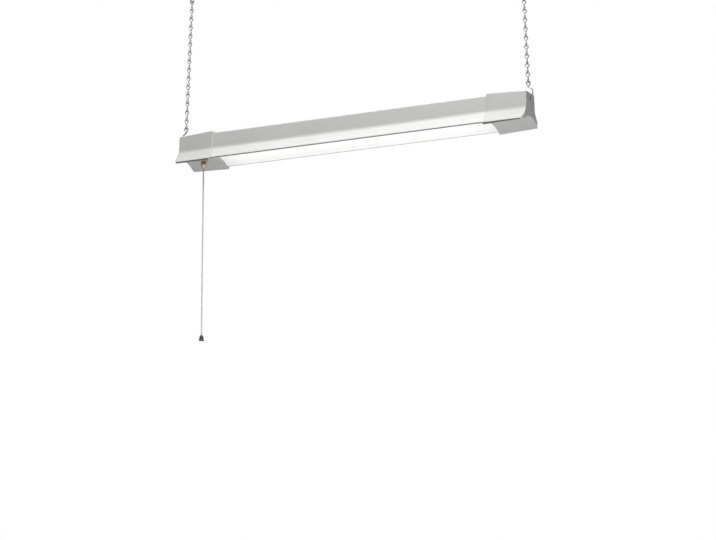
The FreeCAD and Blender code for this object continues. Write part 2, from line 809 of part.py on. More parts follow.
turned(
    "switch_bushing",
    [
        ("Sizes.bushing_bore_radius", "Sizes.cap_floor_level"),
        ("Sizes.bushing_radius", "Sizes.cap_floor_level"),
        ("Sizes.bushing_radius", "Sizes.bushing_end_level"),
        ("Sizes.bushing_radius - 0.6", "Sizes.bushing_end_level - 0.8"),
        ("Sizes.bushing_bore_radius + 0.8", "Sizes.nose_end_level"),
        ("Sizes.bushing_bore_radius", "Sizes.nose_end_level"),
    ],
    (switch_x, 0, 0),
)
washer_low = washer_seat_level - value("washer_thickness")
turned(
    "switch_washer",
    [
        ("Sizes.bushing_radius", 0), ("Sizes.washer_radius", 0),
        ("Sizes.washer_radius", "Sizes.washer_thickness"), ("Sizes.bushing_radius", "Sizes.washer_thickness"),
    ],
    (switch_x, 0, washer_low),
)
nut_low = washer_low - value("nut_thickness")
hexagon = [
    (f"Sizes.nut_flats / sqrt(3) * {round(math.cos(math.radians(angle)), 6)}",
     f"Sizes.nut_flats / sqrt(3) * {round(math.sin(math.radians(angle)), 6)}")
    for angle in range(0, 360, 60)
]
nut_blank = padded("nut_blank", hexagon, named("nut_thickness"), (switch_x, 0, nut_low), store=False)
nut_round = cylinder(
    "nut_round", "Sizes.nut_flats / 2 + 0.55", "Sizes.nut_thickness", (switch_x, 0, nut_low), store=False
)
nut_shape = doc.addObject("Part::Common", "nut_shape")
nut_shape.Base = nut_blank
nut_shape.Tool = nut_round
nut_bore = cylinder("nut_bore", named("bushing_radius"), 10, (switch_x, 0, nut_low - 3), store=False)
cut("switch_nut", nut_shape, [nut_bore])
ring_low = value("bushing_end_level") + 0.4
turned(
    "switch_ring_nut",
    [
        ("Sizes.bushing_radius", 0), ("Sizes.ring_nut_radius - 0.6", 0), ("Sizes.ring_nut_radius", 0.6),
        ("Sizes.ring_nut_radius", "Sizes.ring_nut_thickness - 0.6"),
        ("Sizes.ring_nut_radius - 0.6", "Sizes.ring_nut_thickness"),
        ("Sizes.bushing_radius", "Sizes.ring_nut_thickness"),
    ],
    (switch_x, 0, ring_low),
)

# ---- inside the switch: drum, axle, spring and contacts ----

drum_half = value("drum_width") / 2
wheel = turned(
    "drum_wheel",
    [
        ("Sizes.axle_radius + Sizes.axle_clearance", 0),
        ("Sizes.drum_radius - 0.1", 0),
        ("Sizes.drum_radius - 0.1", "Sizes.drum_width"),
        ("Sizes.axle_radius + Sizes.axle_clearance", "Sizes.drum_width"),
    ],
    (drum_x, -drum_half, drum_level), Vector(0, 1, 0), store=False,
)
cam_notch = box("cam_notch", (3, 3, 3), (drum_x + 4, 0, drum_level + 1.8), store=False)
cut("switch_drum", wheel, [cam_notch])
cylinder(
    "switch_axle", named("axle_radius"), "Sizes.switch_width - 0.5",
    (drum_x, -half_switch, drum_level), Vector(0, 1, 0),
)
turned(
    "switch_spring",
    [
        ("Sizes.axle_radius", 0), ("Sizes.axle_radius + 1.2", 0),
        ("Sizes.axle_radius + 1.2", 3.6), ("Sizes.axle_radius", 3.6),
    ],
    (drum_x, drum_half + 0.5, drum_level), Vector(0, 1, 0),
)


def contacts():
    """Two bent brass strips above the drum."""
    strips = []
    ceiling = case_bottom + value("switch_height") - case_wall
    for side in (-1, 1):
        foot = Part.makeBox(5, 3, 0.5, Vector(drum_x - 2, side * lead_y - 1.5, ceiling - 0.5))
        leg = Part.makeBox(0.5, 3, 3, Vector(drum_x - 2, side * lead_y - 1.5, ceiling - 3))
        strips.append(foot.fuse(leg))
    return Part.makeCompound(strips)


feature("switch_contacts", contacts())
for name, y in (("switch_lead_feed", -lead_y), ("switch_lead_return", lead_y)):
    cylinder(
        name, "Sizes.lead_diameter / 2", block_x - block_half - case_right + 1.2,
        (case_right - 1.2, y, switch_lead_level), Vector(1, 0, 0),
    )

# ---- pull rod, cord, knot and bell, hanging straight down from the nose ----

rod_low = value("nose_end_level")
cylinder(
    "pull_rod", "Sizes.cord_diameter / 2 - 0.3", drum_level - rod_low, (switch_x, 0, rod_low)
)
cord_low = rod_low - value("cord_length")
cylinder("pull_cord", "Sizes.cord_diameter / 2", named("cord_length"), (switch_x, 0, cord_low))
bell_low = cord_low - value("bell_height") + 4
turned(
    "pull_bell",
    [
        ("Sizes.cord_diameter / 2", "Sizes.bell_height"),
        ("Sizes.cord_diameter / 2 + 0.9", "Sizes.bell_height"),
        ("Sizes.bell_radius * 0.62", "Sizes.bell_height * 0.86"),
        ("Sizes.bell_radius * 0.80", "Sizes.bell_height * 0.55"),
        ("Sizes.bell_radius * 0.88", "Sizes.bell_height * 0.25"),
        ("Sizes.bell_radius", "Sizes.bell_height * 0.06"),
        ("Sizes.bell_radius", 0),
        ("Sizes.bell_radius - 0.9", 0),
        ("Sizes.bell_radius * 0.62", "Sizes.bell_height * 0.5"),
        ("Sizes.cord_diameter / 2", "Sizes.bell_height * 0.6"),
    ],
    (switch_x, 0, bell_low),
)


def knot():
    """A round knot under the cord's end, hollowed where the cord enters it."""
    radius = value("knot_radius")
    cord_radius = value("cord_diameter") / 2
    drop = math.sqrt(radius ** 2 - cord_radius ** 2)
    ball = Part.makeSphere(radius, Vector(switch_x, 0, cord_low - drop))
    return ball.cut(Part.makeCylinder(cord_radius, radius, Vector(switch_x, 0, cord_low)))


feature("cord_knot", knot())

# ---- wire hooks, chain links and ceiling hooks ----


def teardrop(across, apex, height, half_width, wire_radius):
    """A closed wire loop from its apex straight up, flat in the plane of `across` and Z."""
    up = Vector(0, 0, 1)
    centre_height = height - half_width
    touch_angle = math.asin(half_width / centre_height)
    side_length = centre_height * math.cos(touch_angle)
    halves = []
    for side in (-1, 1):
        touch = apex + (across * side * math.sin(touch_angle) + up * math.cos(touch_angle)) * side_length
        centre = apex + up * centre_height
        crown = apex + up * height
        bow = (touch - centre).normalize() + (crown - centre).normalize()
        middle = centre + bow.normalize() * half_width
        path = Part.Wire([
            Part.LineSegment(apex, touch).toShape(),
            Part.Arc(touch, middle, crown).toShape(),
        ])
        circle = Part.Wire([Part.makeCircle(wire_radius, apex, touch - apex)])
        halves.append(path.makePipeShell([circle], True, False))
    return halves[0].multiFuse([halves[1], Part.makeSphere(wire_radius, apex)])


def chain_link():
    """One bent-wire link: a lower loop facing X and an upper loop facing Y, joined at the waist.

    The lowest wire's centre is at the origin and the highest at the link's span."""
    half_span = value("link_span") / 2
    waist = Vector(0, 0, half_span)
    sizes = (half_span, value("link_half_width"), value("link_wire_radius"))
    upper = teardrop(Vector(1, 0, 0), waist, *sizes)
    lower = teardrop(Vector(0, 1, 0), waist, *sizes)
    lower.rotate(waist, Vector(1, 0, 0), 180)
    return upper.fuse(lower)


hook_x = half_length - value("chain_inset")
eye_top = value("hook_eye_level") + value("hook_eye_height")
pin_level = eye_top - value("hook_wire_radius") - value("link_wire_radius") - value("joint_gap")
lean = value("chain_lean_degrees")
link_gap = value("link_pitch") - (value("link_span") - 2 * value("link_wire_radius"))
top_link_drop = value("joint_gap") - abs(link_gap)
link_count = int(value("link_count"))


def along_chain(side, distance):
    """The point at a distance up one leaning chain from its lowest wire's centre."""
    angle = math.radians(lean)
    return Vector(side * (hook_x - distance * math.sin(angle)), 0, pin_level + distance * math.cos(angle))


def placed_link(side, distance):
    link = link_shape.copy()
    link.rotate(Vector(0, 0, 0), Vector(0, 1, 0), -side * lean)
    link.translate(along_chain(side, distance))
    return link


link_shape = chain_link()
top_link_distance = (link_count - 1) * value("link_pitch") - top_link_drop
top_wire = along_chain(1, top_link_distance + value("link_span"))
wires_apart = value("link_wire_radius") + value("ceiling_wire_radius") + value("joint_gap")
ceiling_wire_level = top_wire.z - wires_apart
ceiling_ring_centre = ceiling_wire_level + value("ceiling_hook_radius")
ceiling_level = ceiling_ring_centre + 13


def wire_hook(side):
    """The light's own hook: eye above, bulge outside the end wall, tip inside."""
    apex = Vector(side * hook_x, 0, value("hook_eye_level"))
    eye = teardrop(
        Vector(1, 0, 0), apex, value("hook_eye_height"), value("hook_eye_half_width"), value("hook_wire_radius")
    )
    low = value("hook_wire_level")
    outside = half_length + value("hook_bulge")
    route = [
        (hook_x, value("hook_eye_level")), (outside, value("hook_eye_level") - 4.2), (outside, low),
        (half_length - 6.5, low), (half_length - 6.5, low + 3.6),
    ]
    path = [Vector(side * x, 0, z) for x, z in route]
    stem = tube(path, [0, 4, 3.9, 2.5, 0], value("hook_wire_radius"))
    return eye.fuse(stem)


def ceiling_hook(side):
    """A screw hook for one chain: plain shank, collar and an open hook in the plane of Y and Z."""
    x = top_wire.x * side
    radius = value("ceiling_hook_radius")
    centre = ceiling_ring_centre
    route = [
        (0, ceiling_level), (0, centre + radius - 0.8), (radius, centre + radius - 0.8),
        (radius, centre - radius), (-radius, centre - radius), (-radius, centre + 2.6),
    ]
    path = [Vector(x, y, z) for y, z in route]
    bent = tube(path, [0, 2.2, 3.4, radius - 0.01, radius - 0.01, 0], value("ceiling_wire_radius"))
    collar = Part.makeCylinder(4.5, 1.2, Vector(x, 0, ceiling_level - 1.2))
    shank = Part.makeCylinder(
        value("ceiling_shank_radius"), value("ceiling_shank_length"), Vector(x, 0, ceiling_level)
    )
    tip = Part.makeCone(
        value("ceiling_shank_radius"), 0.2, 4, Vector(x, 0, ceiling_level + value("ceiling_shank_length"))
    )
    return bent.multiFuse([collar, shank, tip])


for side, end in ((-1, "left"), (1, "right")):
    feature(f"wire_hook_{end}", wire_hook(side))
    links = [placed_link(side, index * value("link_pitch")) for index in range(link_count - 1)]
    feature(f"chain_links_{end}", Part.makeCompound(links))
    feature(f"top_link_{end}", placed_link(side, top_link_distance))
    feature(f"ceiling_hook_{end}", ceiling_hook(side))

# ---- hang everything below the ceiling, check it and write it ----

doc.recompute()
for item in subparts.values():
    item.Placement.Base = item.Placement.Base - Vector(0, 0, ceiling_level)
doc.recompute()

faults = []
for item in doc.Objects:
    if any(word in item.State for word in ("Invalid", "Error")):
        faults.append(f"{item.Label}: {item.State}")
for label, item in subparts.items():
    if item.Shape.isNull() or not item.Shape.isValid():
        faults.append(f"{label}: no valid shape")
if faults:
    raise ValueError("; ".join(faults))

for label, item in subparts.items():
    item.Shape.exportStep(f"parts/{label}.step")

print("sub-parts", len(subparts))
print("ceiling above the lips", round(ceiling_level, 3))
print("chain pins: lower", round(hook_x, 3), round(pin_level, 3))
upper_pin = along_chain(1, top_link_distance)
print("chain pins: upper", round(upper_pin.x, 3), round(upper_pin.z, 3))
print("top wire", round(top_wire.x, 3), round(top_wire.z, 3))
print("switch x", switch_x, "drum x", drum_x, "drum level", drum_level)
print("cord from", rod_low, "to", cord_low, "bell low", bell_low)
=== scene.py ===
import math

import bpy
from mathutils import Matrix, Vector
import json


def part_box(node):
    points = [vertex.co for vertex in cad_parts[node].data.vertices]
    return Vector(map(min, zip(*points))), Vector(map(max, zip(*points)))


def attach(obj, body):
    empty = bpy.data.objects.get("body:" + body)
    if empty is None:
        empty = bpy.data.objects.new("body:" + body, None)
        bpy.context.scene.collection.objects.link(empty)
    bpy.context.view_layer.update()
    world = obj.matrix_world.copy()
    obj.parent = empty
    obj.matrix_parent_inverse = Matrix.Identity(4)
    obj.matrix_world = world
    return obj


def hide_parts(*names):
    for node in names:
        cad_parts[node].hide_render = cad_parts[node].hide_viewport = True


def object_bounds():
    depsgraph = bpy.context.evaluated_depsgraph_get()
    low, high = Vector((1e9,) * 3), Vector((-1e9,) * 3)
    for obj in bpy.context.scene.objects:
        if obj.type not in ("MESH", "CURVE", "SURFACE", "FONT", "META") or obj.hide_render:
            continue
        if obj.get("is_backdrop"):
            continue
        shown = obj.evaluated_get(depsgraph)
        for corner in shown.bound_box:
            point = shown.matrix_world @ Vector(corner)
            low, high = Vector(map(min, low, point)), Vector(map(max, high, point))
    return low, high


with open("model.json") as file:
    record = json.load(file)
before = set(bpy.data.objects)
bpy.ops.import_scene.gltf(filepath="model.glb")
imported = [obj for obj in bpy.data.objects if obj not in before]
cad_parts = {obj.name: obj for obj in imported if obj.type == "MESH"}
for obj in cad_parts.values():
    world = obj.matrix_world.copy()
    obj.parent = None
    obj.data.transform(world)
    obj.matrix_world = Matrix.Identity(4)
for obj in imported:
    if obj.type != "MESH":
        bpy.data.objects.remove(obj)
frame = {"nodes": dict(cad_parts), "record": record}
cad_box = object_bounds()
nodes = frame["nodes"]

# ---- The view ----
# The light is seen from the front and a little to the right, from below its own height.
# A long lens, as for a product picture, keeps the two edges of the housing nearly parallel.
camera_lens = bpy.data.cameras.new("camera")
camera_lens.sensor_width = 36
camera_lens.lens = 113.6
camera_lens.clip_end = 100
camera_place = (1.50861, -3.04165, -1.19819)
camera_turn = math.radians(26.205)
camera_tilt = math.radians(101.743)
camera_roll = math.radians(-0.09)
camera = bpy.data.objects.new("camera", camera_lens)
camera.matrix_world = (
    Matrix.Translation(camera_place)
    @ Matrix.Rotation(camera_turn, 4, "Z")
    @ Matrix.Rotation(camera_tilt, 4, "X")
    @ Matrix.Rotation(camera_roll, 4, "Z")
)
bpy.context.scene.collection.objects.link(camera)
bpy.context.scene.camera = camera

# ---- The pull cord ----
# A thin braided cord of light grey nylon, 276 mm long, hangs straight down from the switch's nose.
# Its upper end runs on inside the switch, and a round knot in its lower end carries the bell.


def feed(tree, socket, value):
    """Links a node's output to a socket, or sets the socket's own value."""
    if isinstance(value, bpy.types.NodeSocket):
        tree.links.new(value, socket)
    else:
        socket.default_value = value


def add(tree, kind, values=None, **settings):
    """A new node of that kind with its settings and its inputs."""
    made = tree.nodes.new(kind)
    for key, setting in settings.items():
        setattr(made, key, setting)
    for socket, value in (values or {}).items():
        feed(tree, made.inputs[socket], value)
    return made


def sum_of(tree, operation, *values):
    """The result of one sum on numbers or node outputs."""
    made = tree.nodes.new("ShaderNodeMath")
    made.operation = operation
    for socket, value in zip(made.inputs, values):
        feed(tree, socket, value)
    return made.outputs[0]


def new_effect(name, inputs, outputs):
    """An empty group of nodes for an effect that several finishes share."""
    group = bpy.data.node_groups.new(name, "ShaderNodeTree")
    for label, kind, value in inputs:
        socket = group.interface.new_socket(name=label, in_out="INPUT", socket_type=kind)
        socket.default_value = value
    for label, kind in outputs:
        group.interface.new_socket(name=label, in_out="OUTPUT", socket_type=kind)
    return group, group.nodes.new("NodeGroupInput"), group.nodes.new("NodeGroupOutput")


def use_effect(tree, group, values):
    """The outputs of a shared effect, fed with those values."""
    return add(tree, "ShaderNodeGroup", values, node_tree=group).outputs


def object_place(tree):
    """The shaded point's place on the piece."""
    return add(tree, "ShaderNodeTexCoord").outputs["Object"]


def axes_of(tree, vector):
    """The three outputs X, Y and Z of a vector."""
    return add(tree, "ShaderNodeSeparateXYZ", {"Vector": vector}).outputs


def noise(tree, place, scale, detail, roughness=0.5):
    """Smooth random values about 0.5."""
    values = {"Vector": place, "Scale": scale, "Detail": detail, "Roughness": roughness}
    return add(tree, "ShaderNodeTexNoise", values).outputs["Fac"]


def ranged(tree, value, start, end, low=0.0, high=1.0, **settings):
    """The value carried from start and end to low and high, and held between them."""
    values = {"Value": value, "From Min": start, "From Max": end, "To Min": low, "To Max": high}
    return add(tree, "ShaderNodeMapRange", values, **settings).outputs["Result"]


def blended(tree, mask, under, over):
    """The colour under where the mask is 0, and the colour over where it is 1."""
    return add(tree, "ShaderNodeMix", {0: mask, 6: under, 7: over}, data_type="RGBA").outputs[2]


def scaled(tree, colour, level):
    """A colour made lighter or darker."""
    return add(tree, "ShaderNodeVectorMath", {0: colour, "Scale": level}, operation="SCALE").outputs[0]


def coat(material, *names):
    """Gives a finish to the CAD nodes of those names."""
    for name in names:
        nodes[name].material_slots[0].material = material


# Uneven colour: slow patches and fine specks that lighten and darken a colour a little.
uneven, enter, leave = new_effect(
    "uneven colour",
    [("Colour", "NodeSocketColor", (0.5, 0.5, 0.5, 1)), ("Patch Scale", "NodeSocketFloat", 30.0),
     ("Patches", "NodeSocketFloat", 0.05), ("Speck Scale", "NodeSocketFloat", 900.0),
     ("Specks", "NodeSocketFloat", 0.03)],
    [("Colour", "NodeSocketColor")],
)
place = object_place(uneven)
level = 1.0
for scale, share, detail in (("Patch Scale", "Patches", 3.0), ("Speck Scale", "Specks", 2.0)):
    swing = sum_of(uneven, "SUBTRACT", noise(uneven, place, enter.outputs[scale], detail), 0.5)
    most = sum_of(uneven, "MULTIPLY", enter.outputs[share], 4.0)
    level = sum_of(uneven, "ADD", level, sum_of(uneven, "MULTIPLY", swing, most))
feed(uneven, leave.inputs["Colour"], scaled(uneven, enter.outputs["Colour"], level))


def new_finish(name, colour, roughness, metallic=0.0):
    """A material whose plain values are on its shader, ready for its varied ones."""
    material = bpy.data.materials.new(name)
    material.use_nodes = True
    tree = material.node_tree
    shader = tree.nodes["Principled BSDF"]
    shader.inputs["Base Color"].default_value = (*colour, 1)
    shader.inputs["Roughness"].default_value = roughness
    shader.inputs["Metallic"].default_value = metallic
    return material, tree, shader


def bumped(tree, shader, height, depth):
    """Feeds a height to the shader's normal, where depth is in metres."""
    bump = add(tree, "ShaderNodeBump", {"Height": height, "Distance": depth, "Strength": 1.0})
    feed(tree, shader.inputs["Normal"], bump.outputs["Normal"])


cord_low, cord_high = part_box("pull_cord")
cord_x = (cord_low[0] + cord_high[0]) / 2
cord_diameter = cord_high[0] - cord_low[0]
cord_length = cord_high[2] - cord_low[2]
nylon_colour = (0.73, 0.72, 0.72)
braid_strands = 4.0
braid_pitch = 0.0016
braid_depth = 0.00015

cord_finish, tree, shader = new_finish("braided nylon", nylon_colour, 0.75)
place = object_place(tree)
split = axes_of(tree, place)
around = sum_of(tree, "MULTIPLY", sum_of(tree, "ARCTAN2", split["Y"], split["X"]), braid_strands)
along = sum_of(tree, "MULTIPLY", split["Z"], 2 * math.pi / braid_pitch)
strand_out = sum_of(tree, "SINE", sum_of(tree, "ADD", around, along))
strand_back = sum_of(tree, "SINE", sum_of(tree, "SUBTRACT", around, along))
weave = sum_of(tree, "MAXIMUM", strand_out, strand_back)
fuzz = sum_of(tree, "MULTIPLY", noise(tree, place, 6000.0, 4.0), 0.5)
patchy = use_effect(tree, uneven, {"Colour": (*nylon_colour, 1), "Patch Scale": 60.0, "Patches": 0.05,
                                   "Speck Scale": 3000.0, "Specks": 0.05})["Colour"]
# The valleys between the braid's strands are painted down to four fifths of the colour, as shade.
feed(tree, shader.inputs["Base Color"], scaled(tree, patchy, ranged(tree, weave, -0.6, 1.0, 0.80, 1.0)))
shader.inputs["Sheen Weight"].default_value = 0.2
bumped(tree, shader, sum_of(tree, "ADD", weave, fuzz), braid_depth)

cord_line = bpy.data.curves.new("cord", "CURVE")
cord_line.dimensions = "3D"
cord_line.resolution_u = 12
cord_line.bevel_depth = cord_diameter / 2
cord_line.bevel_resolution = 6
cord_line.use_fill_caps = True
spline = cord_line.splines.new("NURBS")
stations = 7
spline.points.add(stations - 1)
for index, point in enumerate(spline.points):
    point.co = (0, 0, cord_high[2] - cord_length * index / (stations - 1), 1)
spline.order_u = 3
spline.use_endpoint_u = True
cord_line.materials.append(cord_finish)
cord = bpy.data.objects.new("cord", cord_line)
cord.location = (cord_x, 0, 0)
bpy.context.scene.collection.objects.link(cord)
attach(cord, "pull")
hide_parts("pull_cord")
coat(cord_finish, "cord_knot", "pull_rod")

# ---- The bell on the cord's end ----
# A small black moulded bell with a rolled rim and a collar where the cord goes in.
# It is threaded on the cord and rests on the knot inside it.


def ring_piece(name, rings, body, material, steps, centre, sharp, closed=True):
    """A mesh turned about the Z axis through `centre`. Each ring is (radius, height), and a radius may be
    a function of the angle. A closed piece joins its last ring to its first, as a bored one does."""
    vertices, faces = [], []
    for radius, level in rings:
        for step in range(steps):
            angle = 2 * math.pi * step / steps
            reach = radius(angle) if callable(radius) else radius
            vertices.append((centre[0] + reach * math.cos(angle), centre[1] + reach * math.sin(angle),
                             centre[2] + level))
    count = len(rings)
    for ring in range(count if closed else count - 1):
        following = (ring + 1) % count
        for step in range(steps):
            after = (step + 1) % steps
            faces.append((ring * steps + step, ring * steps + after, following * steps + after,
                          following * steps + step))
    if not closed:
        faces.append(tuple(range(steps))[::-1])
        faces.append(tuple((count - 1) * steps + step for step in range(steps)))
    mesh = bpy.data.meshes.new(name)
    mesh.from_pydata(vertices, [], faces)
    mesh.validate()
    mesh.shade_smooth()
    mesh.set_sharp_from_angle(angle=math.radians(sharp))
    mesh.materials.append(material)
    piece = bpy.data.objects.new(name, mesh)
    bpy.context.scene.collection.objects.link(piece)
    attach(piece, body)
    return piece


def rounded(corners, reach, bends=4):
    """A profile of (radius, height) corners with each one eased over `reach` by a few short runs."""
    eased = []
    for index, (radius, level) in enumerate(corners):
        here = Vector((radius, level))
        before = Vector(corners[index - 1])
        after = Vector(corners[(index + 1) % len(corners)])
        back = before - here
        ahead = after - here
        start = here + back.normalized() * min(reach, back.length * 0.45)
        end = here + ahead.normalized() * min(reach, ahead.length * 0.45)
        for bend in range(bends + 1):
            share = bend / bends
            point = start * (1 - share) ** 2 + here * 2 * share * (1 - share) + end * share ** 2
            eased.append((point.x, point.y))
    return eased


# Fine grain: the even pitted skin of a moulding, or the peel of sprayed paint.
grain, enter, leave = new_effect(
    "fine grain",
    [("Scale", "NodeSocketFloat", 1500.0), ("Roundness", "NodeSocketFloat", 0.5)],
    [("Height", "NodeSocketFloat")],
)
place = object_place(grain)
pits = noise(grain, place, enter.outputs["Scale"], 3.0)
waves = noise(grain, place, sum_of(grain, "MULTIPLY", enter.outputs["Scale"], 0.3), 1.0)
pit_share = sum_of(grain, "SUBTRACT", 1.0, enter.outputs["Roundness"])
height = sum_of(grain, "ADD", sum_of(grain, "MULTIPLY", pits, pit_share),
                sum_of(grain, "MULTIPLY", waves, enter.outputs["Roundness"]))
feed(grain, leave.inputs["Height"], height)

# Rubbed edges: where a bevelled normal turns away from the true one, as on a corner that hands touch.
rubbed, enter, leave = new_effect(
    "rubbed edges",
    [("Width", "NodeSocketFloat", 0.0008), ("Amount", "NodeSocketFloat", 0.5)],
    [("Mask", "NodeSocketFloat")],
)
soft = add(rubbed, "ShaderNodeBevel", {"Radius": enter.outputs["Width"]}, samples=4).outputs["Normal"]
true = add(rubbed, "ShaderNodeNewGeometry").outputs["Normal"]
facing = add(rubbed, "ShaderNodeVectorMath", {0: soft, 1: true}, operation="DOT_PRODUCT").outputs["Value"]
chance = ranged(rubbed, noise(rubbed, object_place(rubbed), 220.0, 4.0), 0.42, 0.62)
mask = sum_of(rubbed, "MULTIPLY", ranged(rubbed, facing, 0.995, 0.90), chance)
feed(rubbed, leave.inputs["Mask"], sum_of(rubbed, "MULTIPLY", mask, enter.outputs["Amount"]))


def moulded_plastic(name, colour, roughness, grain_scale=2500.0, grain_depth=0.00002, patches=0.04):
    """An injection-moulded finish: a fine pitted skin, slow flow patches and paler rubbed edges."""
    material, tree, shader = new_finish(name, colour, roughness)
    toned = use_effect(tree, uneven, {"Colour": (*colour, 1), "Patch Scale": 45.0, "Patches": patches,
                                      "Speck Scale": grain_scale * 0.6, "Specks": 0.02})["Colour"]
    edge = use_effect(tree, rubbed, {"Width": 0.0006, "Amount": 0.6})["Mask"]
    paler = [min(1.0, part * 1.25 + 0.02) for part in colour]
    feed(tree, shader.inputs["Base Color"], blended(tree, edge, toned, (*paler, 1)))
    smears = noise(tree, object_place(tree), 70.0, 4.0)
    feed(tree, shader.inputs["Roughness"],
         ranged(tree, smears, 0.3, 0.7, roughness - 0.06, roughness + 0.06))
    skin = use_effect(tree, grain, {"Scale": grain_scale, "Roundness": 0.3})["Height"]
    bumped(tree, shader, skin, grain_depth)
    return material


bell_finish = moulded_plastic("black bell plastic", (0.018, 0.018, 0.019), 0.2, 4000.0, 0.000005)
bell_low, bell_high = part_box("pull_bell")
bell_radius = (bell_high[0] - bell_low[0]) / 2
bell_height = bell_high[2] - bell_low[2]
bell_bore = cord_diameter / 2
bell_collar = 0.0021
bell_corners = [
    (bell_bore, 1.0), (bell_bore + 0.0007, 1.0), (bell_collar, 0.965), (bell_collar, 0.90),
    (bell_radius * 0.60, 0.84), (bell_radius * 0.74, 0.72), (bell_radius * 0.81, 0.50),
    (bell_radius * 0.86, 0.28), (bell_radius * 0.93, 0.14), (bell_radius, 0.08), (bell_radius, 0.0),
    (bell_radius * 0.84, 0.0), (bell_radius * 0.76, 0.20), (bell_radius * 0.68, 0.45),
    (bell_radius * 0.60, 0.56), (bell_bore, 0.61),
]
bell = ring_piece(
    "bell", rounded([(radius, share * bell_height) for radius, share in bell_corners], 0.0005),
    "pull", bell_finish, 72, (cord_x, 0, bell_low[2]), 60,
)
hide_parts("pull_bell")

# ---- The housing ----
# One long hat-shaped channel of light grey enamelled metal, open beneath, with a rolled lip along each side.
# It is sprayed before assembly, so its skin has a slight peel, and dust settles on what faces up.

# Settled dust: a pale film on what faces up, broken by wiping.
dusty, enter, leave = new_effect(
    "settled dust",
    [("Colour", "NodeSocketColor", (0.5, 0.5, 0.5, 1)), ("Amount", "NodeSocketFloat", 0.3)],
    [("Colour", "NodeSocketColor"), ("Mask", "NodeSocketFloat")],
)
upward = axes_of(dusty, add(dusty, "ShaderNodeNewGeometry").outputs["Normal"])["Z"]
wiped = noise(dusty, object_place(dusty), 26.0, 5.0, 0.6)
settled = sum_of(dusty, "MULTIPLY", ranged(dusty, wiped, 0.35, 0.7), ranged(dusty, upward, 0.3, 1.0))
mask = sum_of(dusty, "MULTIPLY", settled, enter.outputs["Amount"])
feed(dusty, leave.inputs["Colour"], blended(dusty, mask, enter.outputs["Colour"], (0.62, 0.60, 0.56, 1)))
feed(dusty, leave.inputs["Mask"], mask)


def sprayed_paint(name, colour, roughness, dust):
    """Sprayed enamel: orange peel, faint patches, dust on top and thin paint along the folded edges."""
    material, tree, shader = new_finish(name, colour, roughness)
    toned = use_effect(tree, uneven, {"Colour": (*colour, 1), "Patch Scale": 14.0, "Patches": 0.025,
                                      "Speck Scale": 1800.0, "Specks": 0.012})["Colour"]
    edge = use_effect(tree, rubbed, {"Width": 0.0007, "Amount": 0.35})["Mask"]
    worn = blended(tree, edge, toned, (0.55, 0.55, 0.56, 1))
    film = use_effect(tree, dusty, {"Colour": worn, "Amount": dust})
    feed(tree, shader.inputs["Base Color"], film["Colour"])
    drawn = add(tree, "ShaderNodeMapping", {"Vector": object_place(tree), "Scale": (0.12, 1.0, 1.0)})
    smears = noise(tree, drawn.outputs["Vector"], 60.0, 4.0)
    rough = ranged(tree, smears, 0.3, 0.7, roughness - 0.05, roughness + 0.06)
    feed(tree, shader.inputs["Roughness"],
         sum_of(tree, "ADD", rough, sum_of(tree, "MULTIPLY", film["Mask"], 0.3)))
    peel = use_effect(tree, grain, {"Scale": 900.0, "Roundness": 0.85})["Height"]
    bumped(tree, shader, peel, 0.000008)
    return material


# Painted lip shade: the narrow face under the flare leans inwards and faces down, and it is painted dark as
# the shade that falls on it. It draws a line along each side.
painted_lip_shade, enter, leave = new_effect(
    "painted lip shade",
    [("Colour", "NodeSocketColor", (0.5, 0.5, 0.5, 1)),
     ("Lip Shade Colour", "NodeSocketColor", (0.2, 0.2, 0.2, 1))],
    [("Colour", "NodeSocketColor")],
)
turned = axes_of(painted_lip_shade, add(painted_lip_shade, "ShaderNodeNewGeometry").outputs["True Normal"])
not_below = ranged(painted_lip_shade, turned["Z"], -0.65, -0.55)
not_upright = ranged(painted_lip_shade, turned["Z"], -0.15, -0.25)
sideways = ranged(painted_lip_shade, sum_of(painted_lip_shade, "ABSOLUTE", turned["Y"]), 0.5, 0.7)
mask = sum_of(painted_lip_shade, "MULTIPLY", sum_of(painted_lip_shade, "MULTIPLY", not_below, not_upright), sideways)
darkened = blended(painted_lip_shade, mask, enter.outputs["Colour"], enter.outputs["Lip Shade Colour"])
feed(painted_lip_shade, leave.inputs["Colour"], darkened)


def paint_lip_shade(material, colour):
    """Lays the painted lip shade, a dark tone where the lip's face turns down, over the colour that the
    material already has.
    """
    tree = material.node_tree
    base = tree.nodes["Principled BSDF"].inputs["Base Color"]
    plain = base.links[0].from_socket
    feed(tree, base, use_effect(tree, painted_lip_shade, {"Colour": plain, "Lip Shade Colour": (*colour, 1)})["Colour"])


housing_finish = sprayed_paint("light grey enamel", (0.505, 0.505, 0.50), 0.38, dust=0.35)
# The housing lip's downward face is painted dark grey as shade.
paint_lip_shade(housing_finish, (0.20, 0.20, 0.20))
coat(housing_finish, "housing")

# ---- The diffuser ----
# An extruded strip of opal plastic, arched across and ribbed along its length, lit from behind.
# The row of chips above it shows as a brighter band along its middle, and a groove runs along each edge.
opal_colour = (0.72, 0.72, 0.71)
rib_pitch = 0.0011
rib_depth = 0.00012
diffuser_half = 0.0275
groove_place = 0.0228
chip_pitch = 0.018
fade_start = 0.195
fade_end = 0.242

